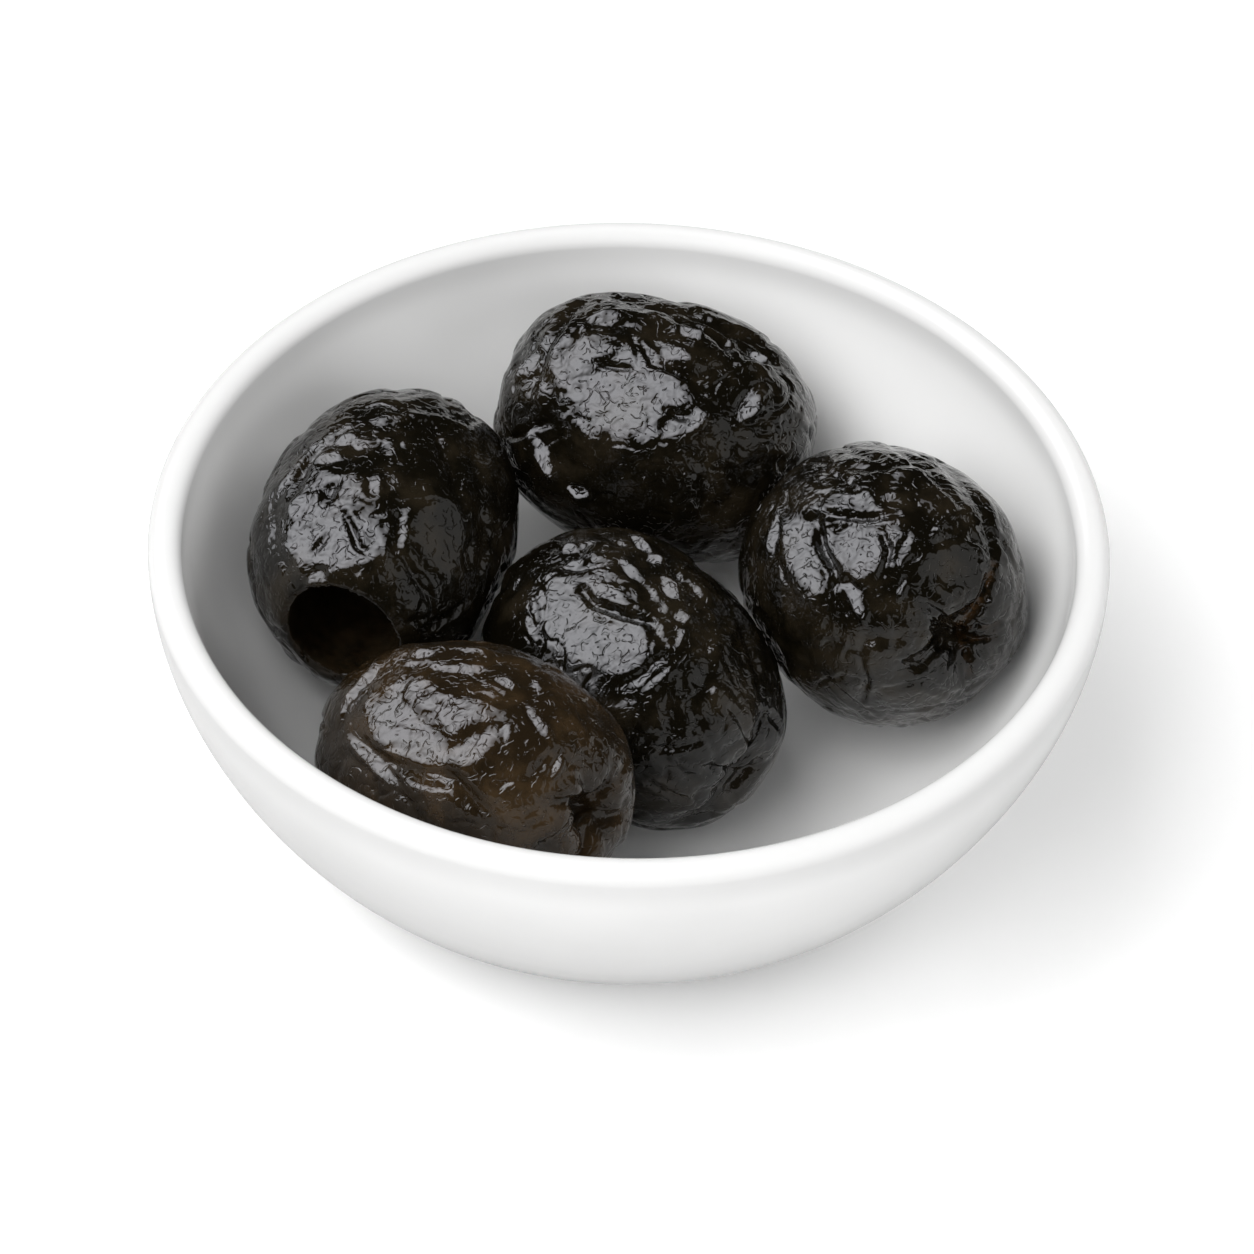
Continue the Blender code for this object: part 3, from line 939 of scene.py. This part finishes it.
# %% Facets
FACETS = {
    "olive_left": [
        dark_spot((352, 466), 30, 15, 28),
        dark_spot((376, 466), 18, 20, 0),
        dark_spot((372, 437), 24, 11, 8),
        Facet((344, 544), 57, 32, 0),
        Facet((303, 508), 16, 8, 42),
        Facet((320, 578), 12, 9, 60),
        Facet((346, 443), 13, 6, 25),
        Facet((330, 462), 15, 5, 18),
        Facet((375, 489), 11, 8, 70),
        Facet((438, 532), 26, 40, 0, DIM_WAY),
        Stroke([(345, 515), (352, 530), (358, 547), (367, 557)], 0.30, 0.28),
        Stroke([(316, 552), (327, 537)], 0.25, 0.30),
    ],
    "olive_back": [
        Facet((632, 400), 78, 48, -27, step=0.6),
        Facet((588, 354), 30, 16, 25),
        Facet((684, 424), 26, 14, 15),
        Facet((604, 320), 19, 6, 6),
        Facet((672, 353), 27, 8, -27),
        Facet((689, 335), 13, 5, -30),
        Facet((747, 408), 16, 11, 60),
        Facet((545, 456), 25, 7, -64),
        Facet((580, 490), 11, 6, -20),
        Facet((532, 366), 20, 6, 52),
        Facet((756, 360), 11, 5, -42),
        Facet((786, 428), 12, 20, -10, WALL_WAY),
        Stroke([(640, 344), (652, 366), (704, 384)], 0.30, 0.35),
        Stroke([(596, 362), (612, 366), (630, 369)], 0.30, 0.25),
        Stroke([(666, 411), (677, 416), (690, 420)], 0.35, 0.32),
        Stroke([(630, 333), (640, 366)], 0.18, 0.22),
    ],
    "olive_middle": [
        dark_spot((640, 568), 30, 20, -20, flat=0.3),
        Facet((602, 636), 70, 35, -33),
        Facet((571, 551), 9, 4, 8),
        Facet((576, 567), 14, 5, 16),
        Facet((640, 548), 14, 4, -36),
        Facet((654, 563), 11, 4, -16),
        Facet((631, 575), 19, 6, -42),
        Facet((610, 595), 26, 7, -38),
        Facet((668, 592), 14, 7, -50),
        Facet((680, 620), 11, 6, -25),
        Facet((679, 640), 10, 5, 60),
        Facet((658, 682), 22, 6, 42),
        Facet((534, 630), 14, 5, -72),
        Facet((734, 666), 42, 12, -78, WALL_WAY),
        Facet((766, 690), 26, 8, 82, WALL_WAY),
        Stroke([(583, 592), (596, 606), (622, 616), (648, 624), (664, 646)], 0.40, 0.38),
    ],
    "olive_front": [
        dark_spot((462, 690), 36, 20, -12),
        dark_spot((392, 680), 20, 13, 30),
        dark_spot((452, 662), 38, 10, -4),
        Facet((410, 735), 48, 26, -38),
        Facet((474, 750), 24, 18, 50),
        Facet((382, 768), 33, 7, -42),
        Facet((420, 688), 13, 5, 12),
        Facet((506, 686), 13, 5, -22),
        Facet((537, 725), 24, 6, -54),
        Facet((555, 768), 13, 5, 66),
        Facet((370, 679), 18, 4, 50),
        Facet((356, 698), 9, 4, 66),
        Facet((424, 658), 13, 4, 8),
        Facet((592, 758), 32, 20, -50, WALL_WAY),
        dark_spot((430, 782), 22, 8, -15),
        dark_spot((513, 790), 14, 7, 20),
    ],
    "olive_right": [
        Facet((806, 556), 40, 20, -74),
        Facet((860, 556), 32, 31, 0),
        Facet((857, 600), 24, 8, -64),
        Facet((905, 551), 18, 7, 60),
        Facet((896, 538), 9, 6, 0),
        Facet((864, 502), 17, 7, 6),
        Facet((888, 497), 11, 5, 12),
        Facet((777, 538), 20, 5, 78),
        Facet((902, 588), 13, 4, 72),
        Facet((955, 563), 28, 24, 30, DIM_WAY),
        Facet((950, 527), 22, 9, 38, WALL_WAY),
        Facet((979, 611), 7, 4, 50),
        Facet((986, 600), 5, 3, 60),
        Facet((968, 656), 6, 4, -60),
        Facet((962, 645), 5, 4, 20),
        Stroke([(820, 520), (821, 544), (830, 561), (838, 571), (837, 582)], 0.45, 0.42),
        Stroke([(882, 533), (890, 551), (885, 575)], 0.30, 0.30),
        Stroke([(826, 517), (864, 519), (897, 516)], 0.28, 0.32),
    ],
}
print("facets and cuts:", sum(len(facets) for facets in FACETS.values()))

# %% [markdown]
# ## Skin relief
# Between the drawn creases, pickled skin is never smooth. It has soft dents, folds that run
# mostly along the fruit, and fine worm-like wrinkles. They follow a rule, so a Geometry Nodes
# tree makes them: it bends the surface point with one noise, reads two folded noises there,
# and sinks the skin by the sum. Pressed spots keep only a quarter of it. A small even swell
# makes up for what the dents take away, as far as each point has room to rise. A displacement
# in the material could look the same, but the mesh itself would stay smooth.

# %% Skin relief by Geometry Nodes
RELIEF_INPUTS = [
    ("Swell", "NodeSocketFloat"),
    ("Dent Depth", "NodeSocketFloat"),
    ("Dent Scale", "NodeSocketFloat"),
    ("Fold Depth", "NodeSocketFloat"),
    ("Fold Scale", "NodeSocketFloat"),
    ("Fold Stretch", "NodeSocketFloat"),
    ("Worm Depth", "NodeSocketFloat"),
    ("Worm Scale", "NodeSocketFloat"),
    ("Seed", "NodeSocketFloat"),
    ("Finish", "NodeSocketMaterial"),
]
NOISE_MIDDLE = 0.5
GAP_EDGE = (0.48, 0.58)
BEND_SCALE = 300.0
BEND_REACH = 2.4 * MM
FOLD_WIDTH = 0.10
WORM_WIDTH = 0.10
WORM_GAP_SCALE = 350.0
PRESSED_LOSS = -0.75
SWELL_SPARE = 0.08 * MM
PIT_TEAR = 0.55 * MM
PIT_TEAR_SCALE = 520.0
PIT_TEAR_DETAIL = 2.0


def folded_noise(tree, place, scale, half_width, gap_scale=None):
    """Creases that wander: 1 where a smooth noise passes its middle value, 0 away from it. A
    second noise can rub out parts, which leaves short curved marks."""
    value = noise_node(tree, place, scale, detail=0.0)
    away = math_node(tree, "ABSOLUTE", math_node(tree, "SUBTRACT", value, NOISE_MIDDLE))
    crease = range_node(tree, away, (0.0, half_width), (1.0, 0.0))
    if gap_scale is None:
        return crease
    kept = range_node(tree, noise_node(tree, place, gap_scale, detail=0.0), GAP_EDGE)
    return math_node(tree, "MULTIPLY", crease, kept)


def bent_place(tree, place, scale, reach):
    """Shift a place by a noise, so that straight patterns drawn there turn wavy."""
    wobble = add_node(tree, "ShaderNodeTexNoise", Vector=place, Scale=scale, Detail=1.0)
    offset = vector_node(tree, "SUBTRACT", wobble.outputs["Color"], (NOISE_MIDDLE,) * 3)
    return vector_node(tree, "ADD", place, vector_node(tree, "MULTIPLY", offset, (reach,) * 3))


def read_mask(tree, label):
    return add_node(tree, "GeometryNodeInputNamedAttribute", {"data_type": "FLOAT"},
                    Name=label).outputs["Attribute"]


def skin_depth(tree, given, shifted, bent):
    """How deep the skin sinks: dents, folds and worms, less on pressed spots, and the marks."""
    stretch = add_node(tree, "ShaderNodeCombineXYZ", X=given["Fold Stretch"], Y=1.0, Z=1.0)
    stretched = vector_node(tree, "MULTIPLY", bent, stretch.outputs[0])
    dents = noise_node(tree, shifted, given["Dent Scale"])
    folds = folded_noise(tree, stretched, given["Fold Scale"], FOLD_WIDTH)
    worms = folded_noise(tree, bent, given["Worm Scale"], WORM_WIDTH, WORM_GAP_SCALE)
    even = math_node(tree, "MULTIPLY", given["Dent Depth"], NOISE_MIDDLE)
    depth = math_node(tree, "MULTIPLY", dents, given["Dent Depth"])
    depth = math_node(tree, "MULTIPLY_ADD", folds, given["Fold Depth"], depth)
    depth = math_node(tree, "MULTIPLY_ADD", worms, given["Worm Depth"], depth)
    depth = math_node(tree, "SUBTRACT", depth, even)
    kept = math_node(tree, "MULTIPLY_ADD", read_mask(tree, "pressed"), PRESSED_LOSS, 1.0)
    depth = math_node(tree, "MULTIPLY_ADD", depth, kept, even)
    return math_node(tree, "ADD", depth, read_mask(tree, "drawn"))


def relief_tree():
    tree, given = new_tree("skin_relief", RELIEF_INPUTS)
    place = add_node(tree, "GeometryNodeInputPosition").outputs[0]
    shift = add_node(tree, "ShaderNodeCombineXYZ", X=given["Seed"], Y=0.0, Z=0.0).outputs[0]
    shifted = vector_node(tree, "ADD", place, shift)
    bent = bent_place(tree, shifted, BEND_SCALE, BEND_REACH)
    swell = math_node(tree, "ADD", read_mask(tree, "room"), SWELL_SPARE)
    swell = math_node(tree, "MINIMUM", swell, given["Swell"])
    rise = math_node(tree, "SUBTRACT", swell, skin_depth(tree, given, shifted, bent))
    skin = math_node(tree, "SUBTRACT", 1.0, read_mask(tree, "pit"))
    rise = math_node(tree, "MULTIPLY", rise, skin)
    torn = noise_node(tree, bent, PIT_TEAR_SCALE, PIT_TEAR_DETAIL)
    torn = math_node(tree, "SUBTRACT", torn, NOISE_MIDDLE)
    tear = math_node(tree, "MULTIPLY", read_mask(tree, "pit"), PIT_TEAR)
    rise = math_node(tree, "ADD", rise, math_node(tree, "MULTIPLY", torn, tear))
    rise = math_node(tree, "MINIMUM", rise, read_mask(tree, "room"))
    normal = add_node(tree, "GeometryNodeInputNormal").outputs[0]
    lift = add_node(tree, "ShaderNodeVectorMath", {"operation": "SCALE"}, Vector=normal,
                    Scale=rise)
    moved = add_node(tree, "GeometryNodeSetPosition", Geometry=given["Geometry"],
                     Offset=lift.outputs[0])
    close_tree(tree, moved.outputs[0], given["Finish"])
    return tree


RELIEF = relief_tree()
print("relief inputs:", [label for label, kind in RELIEF_INPUTS])

# %% [markdown]
# ## Wet skin
# Ripe olive skin is nearly black, with brown showing through in patches, and brine keeps it
# wet, so it reflects like dark glass. A shader group makes what all the skins share: the
# mottled colour, the bare flesh in torn places, the fine wrinkles and specks that are too
# small for the mesh, and a little change in roughness. One material for each olive would do,
# but five copies of the same nodes are hard to keep alike. Each skin material gives the group
# its own colours, and leans the normal by the tilt that the facets wrote.

# %% Skin shader group
MOTTLE_DETAIL = 4.0
MOTTLE_FINENESS = 0.6
MOTTLE_EDGE = (0.42, 0.68)
FIBRE_SCALE = 1500.0
FIBRE_DETAIL = 2.0
FIBRE_EDGE = (0.35, 0.60)
WET_ROUGHNESS = (0.03, 0.09)
WET_EDGE = (0.3, 0.7)
CRINKLE_BEND_SCALE = 900.0
CRINKLE_BEND_REACH = 0.8 * MM
CRINKLE_WIDTH = 0.07
CRINKLE_GAP_SCALE = 1300.0
SECOND_CRINKLE_SHIFT = (0.31, 0.17, 0.23)
RIPPLE_SCALE = 1000.0
RIPPLE_DEPTH = 0.15
SPECK_SCALE = 1700.0
SPECK_EDGE = (0.05, 0.19)
SPECK_PICK = (0.62, 0.64)


def mottled_colour(group, given, place, mottle):
    """Dark skin with lighter patches, and fibres of flesh where the flesh mask bares them."""
    colour = colour_mix(group, range_node(group, mottle, MOTTLE_EDGE), given["Dark"],
                        given["Light"])
    flesh = add_node(group, "ShaderNodeAttribute", {"attribute_name": "flesh"})
    fibres = noise_node(group, place, FIBRE_SCALE, FIBRE_DETAIL)
    bare = math_node(group, "MULTIPLY", flesh.outputs["Fac"],
                     range_node(group, fibres, FIBRE_EDGE))
    return colour_mix(group, bare, colour, given["Flesh"])


def fine_height(group, given, place):
    """The height of two sets of crinkles, a ripple, and raised specks."""
    bent = bent_place(group, place, CRINKLE_BEND_SCALE, CRINKLE_BEND_REACH)
    shifted = vector_node(group, "ADD", bent, SECOND_CRINKLE_SHIFT)
    first, second = (folded_noise(group, where, given["Crinkle Scale"], CRINKLE_WIDTH,
                                  CRINKLE_GAP_SCALE) for where in (bent, shifted))
    crinkle = math_node(group, "ADD", first, second)
    sunk = math_node(group, "MULTIPLY", given["Crinkle Depth"], -1.0)
    specks = add_node(group, "ShaderNodeTexVoronoi", Vector=place, Scale=SPECK_SCALE)
    dot = range_node(group, specks.outputs["Distance"], SPECK_EDGE, (1.0, 0.0))
    picked = add_node(group, "ShaderNodeSeparateColor", Color=specks.outputs["Color"])
    dot = math_node(group, "MULTIPLY", dot,
                    range_node(group, picked.outputs[0], SPECK_PICK))
    height = math_node(group, "MULTIPLY", crinkle, sunk)
    ripple = noise_node(group, bent, RIPPLE_SCALE)
    height = math_node(group, "MULTIPLY_ADD", ripple, RIPPLE_DEPTH, height)
    return math_node(group, "MULTIPLY_ADD", dot, given["Speck Depth"], height)


def skin_group():
    group = bpy.data.node_groups.new("wet_skin", "ShaderNodeTree")
    sockets = [("Dark", "INPUT", "Color"), ("Light", "INPUT", "Color"),
               ("Flesh", "INPUT", "Color"), ("Mottle Scale", "INPUT", "Float"),
               ("Crinkle Scale", "INPUT", "Float"), ("Crinkle Depth", "INPUT", "Float"),
               ("Speck Depth", "INPUT", "Float"), ("Colour", "OUTPUT", "Color"),
               ("Roughness", "OUTPUT", "Float"), ("Height", "OUTPUT", "Float")]
    for label, side, kind in sockets:
        group.interface.new_socket(name=label, in_out=side, socket_type="NodeSocket" + kind)
    given = group.nodes.new("NodeGroupInput").outputs
    place = add_node(group, "ShaderNodeTexCoord").outputs["Object"]
    mottle = noise_node(group, place, given["Mottle Scale"], MOTTLE_DETAIL, MOTTLE_FINENESS)
    add_node(group, "NodeGroupOutput",
             Colour=mottled_colour(group, given, place, mottle),
             Roughness=range_node(group, mottle, WET_EDGE, WET_ROUGHNESS),
             Height=fine_height(group, given, place))
    return group


WET_SKIN = skin_group()
print("skin group nodes:", len(WET_SKIN.nodes))

# %% Skin materials
SKIN_SIZES = {
    "Mottle Scale": 220.0,
    "Crinkle Scale": 950.0,
    "Crinkle Depth": 0.03,
    "Speck Depth": 0.06,
}
SKIN_IOR = 1.5


def skin_material(name, **colours):
    material, tree, shader = new_finish(name)
    skin = add_node(tree, "ShaderNodeGroup", {"node_tree": WET_SKIN})
    for label, size in SKIN_SIZES.items():
        skin.inputs[label].default_value = size
    for label, colour in colours.items():
        skin.inputs[label.capitalize()].default_value = (*colour, 1.0)
    tilt = add_node(tree, "ShaderNodeAttribute", {"attribute_name": "tilt"})
    turned = add_node(tree, "ShaderNodeVectorTransform",
                      {"vector_type": "VECTOR", "convert_from": "OBJECT", "convert_to": "WORLD"},
                      Vector=tilt.outputs["Vector"])
    normal = add_node(tree, "ShaderNodeNewGeometry").outputs["Normal"]
    leant = vector_node(tree, "NORMALIZE", vector_node(tree, "ADD", normal, turned.outputs[0]))
    bump = add_node(tree, "ShaderNodeBump", Strength=1.0, Distance=1.0 * MM,
                    Height=skin.outputs["Height"], Normal=leant)
    fill_shader(tree, shader, {
        "Base Color": skin.outputs["Colour"],
        "Roughness": skin.outputs["Roughness"],
        "Normal": bump.outputs["Normal"],
        "IOR": SKIN_IOR,
    })
    return material


BLACK_SKIN = skin_material("wet_black_skin", dark=(0.0034, 0.0027, 0.0014),
                           light=(0.014, 0.0105, 0.006), flesh=(0.055, 0.028, 0.011))
BROWN_SKIN = skin_material("wet_brown_skin", dark=(0.013, 0.0085, 0.0042),
                           light=(0.034, 0.021, 0.010), flesh=(0.08, 0.04, 0.018))
print("made", BLACK_SKIN.name, "and", BROWN_SKIN.name)

# %% [markdown]
# ## Making the olives
# With the helpers ready, each olive is a blank, its strokes and facets, its relief and its
# finish. The mesh then goes back from lying along X to the olive's own place in the dish. One
# function makes all five, so that what is mended on one is mended on all.

# %% Olives
RELIEF_SIZES = {
    "Swell": 0.72 * MM,
    "Dent Depth": 0.60 * MM,
    "Dent Scale": 210.0,
    "Fold Depth": 0.22 * MM,
    "Fold Scale": 190.0,
    "Fold Stretch": 0.6,
    "Worm Depth": 0.16 * MM,
    "Worm Scale": 420.0,
}
SEED_STEP = 0.1
SKINS = {
    "olive_left": ("black_skin", BLACK_SKIN),
    "olive_back": ("black_skin", BLACK_SKIN),
    "olive_middle": ("black_skin", BLACK_SKIN),
    "olive_front": ("brown_skin", BROWN_SKIN),
    "olive_right": ("black_skin", BLACK_SKIN),
}


def make_olive(name, seed):
    place = olive_frame(name)
    mesh = olive_blank(name)
    pit = pit_mask(mesh) if name == "olive_left" else np.zeros(len(mesh.vertices))
    write_mask(mesh, "pit", pit)
    draw_marks(mesh, place, STROKES[name] + FACETS[name], pit)
    print(name, "least room: %.3f mm" % (room_to_swell(mesh, place, name) / MM))
    slot, finish = SKINS[name]
    values = dict(RELIEF_SIZES, Seed=seed, Finish=finish)
    olive = run_tree("wrinkled_" + name, mesh, RELIEF, values)
    olive.data.transform(place)
    face_outwards(olive.data)
    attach(olive, "root")
    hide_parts(name)
    print(name, "faces:", len(olive.data.polygons))


for index, name in enumerate(OLIVE_TURNS):
    make_olive(name, SEED_STEP * index)

# %% [markdown]
# ## Studio
# The photograph has a seamless white table and soft light from all round. Wet skin is so
# dark that it shows only reflections, and the dish is so matt that it shows only shading,
# so this studio lights the two apart. One window and a dimmer one on the right are seen in
# reflections alone, and six shaping lights in shading alone. Real lights do both, but then
# each light that shapes the dish would put one more patch on every olive. The world gives
# no light, and only a trace of grey in reflections, as a dim room does round its lights.

# %% Studio floor
FLOOR_SIZE = 6.0
FLOOR_WHITE = 1.0
FLOOR_THROW = 0.55
FLOOR_ROUGHNESS = 0.9


def floor_material():
    """White to the eye, but grey in what it throws back on the dish, like a lit table that is
    further away than it looks."""
    material, tree, shader = new_finish("studio_floor")
    seen = add_node(tree, "ShaderNodeLightPath").outputs["Is Camera Ray"]
    fill_shader(tree, shader, {
        "Base Color": colour_mix(tree, seen, (FLOOR_THROW,) * 3, (FLOOR_WHITE,) * 3),
        "Roughness": FLOOR_ROUGHNESS,
        "Specular IOR Level": 0.0,
    })
    return material


floor_mesh = bpy.data.meshes.new("studio_floor")
half = FLOOR_SIZE / 2
floor_mesh.from_pydata([(-half, -half, 0), (half, -half, 0), (half, half, 0),
                        (-half, half, 0)], [], [(0, 1, 2, 3)])
floor_mesh.materials.append(floor_material())
studio_floor = bpy.data.objects.new("studio_floor", floor_mesh)
bpy.context.scene.collection.objects.link(studio_floor)
print("floor: %.0f m wide" % FLOOR_SIZE)

# %% Studio lights
WINDOW_COLOUR = (0.94, 0.95, 1.0)
WINDOW_FADE = (1.55, 0.40)
WINDOW_FADE_REACH = 0.6
WINDOW_MIDDLE = (0.5, 0.5, 0.0)
SHAPING_DISTANCE = 0.80
SHAPING_SIZE = 0.60
# Degrees round from the right, degrees above the floor, and watts.
SHAPING_LIGHTS = {
    "front_left_light": (225, 48, 4.4),
    "back_left_light": (135, 18, 2.4),
    "back_right_light": (45, 18, 4.2),
    "front_right_light": (315, 18, 2.7),
    "front_light": (270, 40, 1.7),
    "high_left_light": (180, 65, 2.9),
}


def soft_light(name, direction, distance, width, height, power, colour=(1, 1, 1)):
    """A soft oblong light that faces the dish. Sizes are in metres and power in watts."""
    data = bpy.data.lights.new(name, "AREA")
    data.shape = "RECTANGLE"
    data.size = width
    data.size_y = height
    data.energy = power
    data.color = colour
    light = bpy.data.objects.new(name, data)
    away = Vector(direction).normalized()
    light.location = distance * away
    light.rotation_euler = away.to_track_quat("Z", "Y").to_euler()
    light.visible_camera = False
    bpy.context.scene.collection.objects.link(light)
    return light


def fade_light(light, strengths):
    """Make a window of light brighter in its middle than at its edges."""
    light.data.use_nodes = True
    tree = light.data.node_tree
    across = add_node(tree, "ShaderNodeNewGeometry").outputs["Parametric"]
    offset = vector_node(tree, "SUBTRACT", across, WINDOW_MIDDLE)
    flat = vector_node(tree, "MULTIPLY", offset, (1.0, 1.0, 0.0))
    away = add_node(tree, "ShaderNodeVectorMath", {"operation": "LENGTH"}, Vector=flat)
    give(tree, tree.nodes["Emission"].inputs["Strength"],
         range_node(tree, away.outputs["Value"], (0.0, WINDOW_FADE_REACH), strengths))


window = soft_light("window_light", WINDOW_WAY, distance=0.60, width=0.66, height=0.66,
                    power=5.8, colour=WINDOW_COLOUR)
fade_light(window, WINDOW_FADE)
dim_window = soft_light("dim_window_light", DIM_WAY, distance=0.60, width=0.60, height=0.70,
                        power=0.75)
for light in (window, dim_window):
    light.visible_diffuse = False
for name, (turn, height, power) in SHAPING_LIGHTS.items():
    shaping = soft_light(name, compass(turn, height), SHAPING_DISTANCE, SHAPING_SIZE,
                         SHAPING_SIZE, power)
    shaping.visible_glossy = False
print("lights:", 2 + len(SHAPING_LIGHTS))

# %% World
WORLD_LIGHT = 0.0
WORLD_IN_REFLECTIONS = 0.015


def studio_world():
    world = bpy.data.worlds.new("studio_world")
    world.use_nodes = True
    tree = world.node_tree
    background = tree.nodes["Background"]
    glossy = add_node(tree, "ShaderNodeLightPath").outputs["Is Glossy Ray"]
    fill_shader(tree, background, {
        "Color": (1.0, 1.0, 1.0, 1.0),
        "Strength": range_node(tree, glossy, (0.0, 1.0), (WORLD_LIGHT, WORLD_IN_REFLECTIONS),
                               "LINEAR"),
    })
    return world


bpy.context.scene.world = studio_world()
bpy.context.scene.view_settings.view_transform = "Standard"
print("world in reflections:", WORLD_IN_REFLECTIONS)
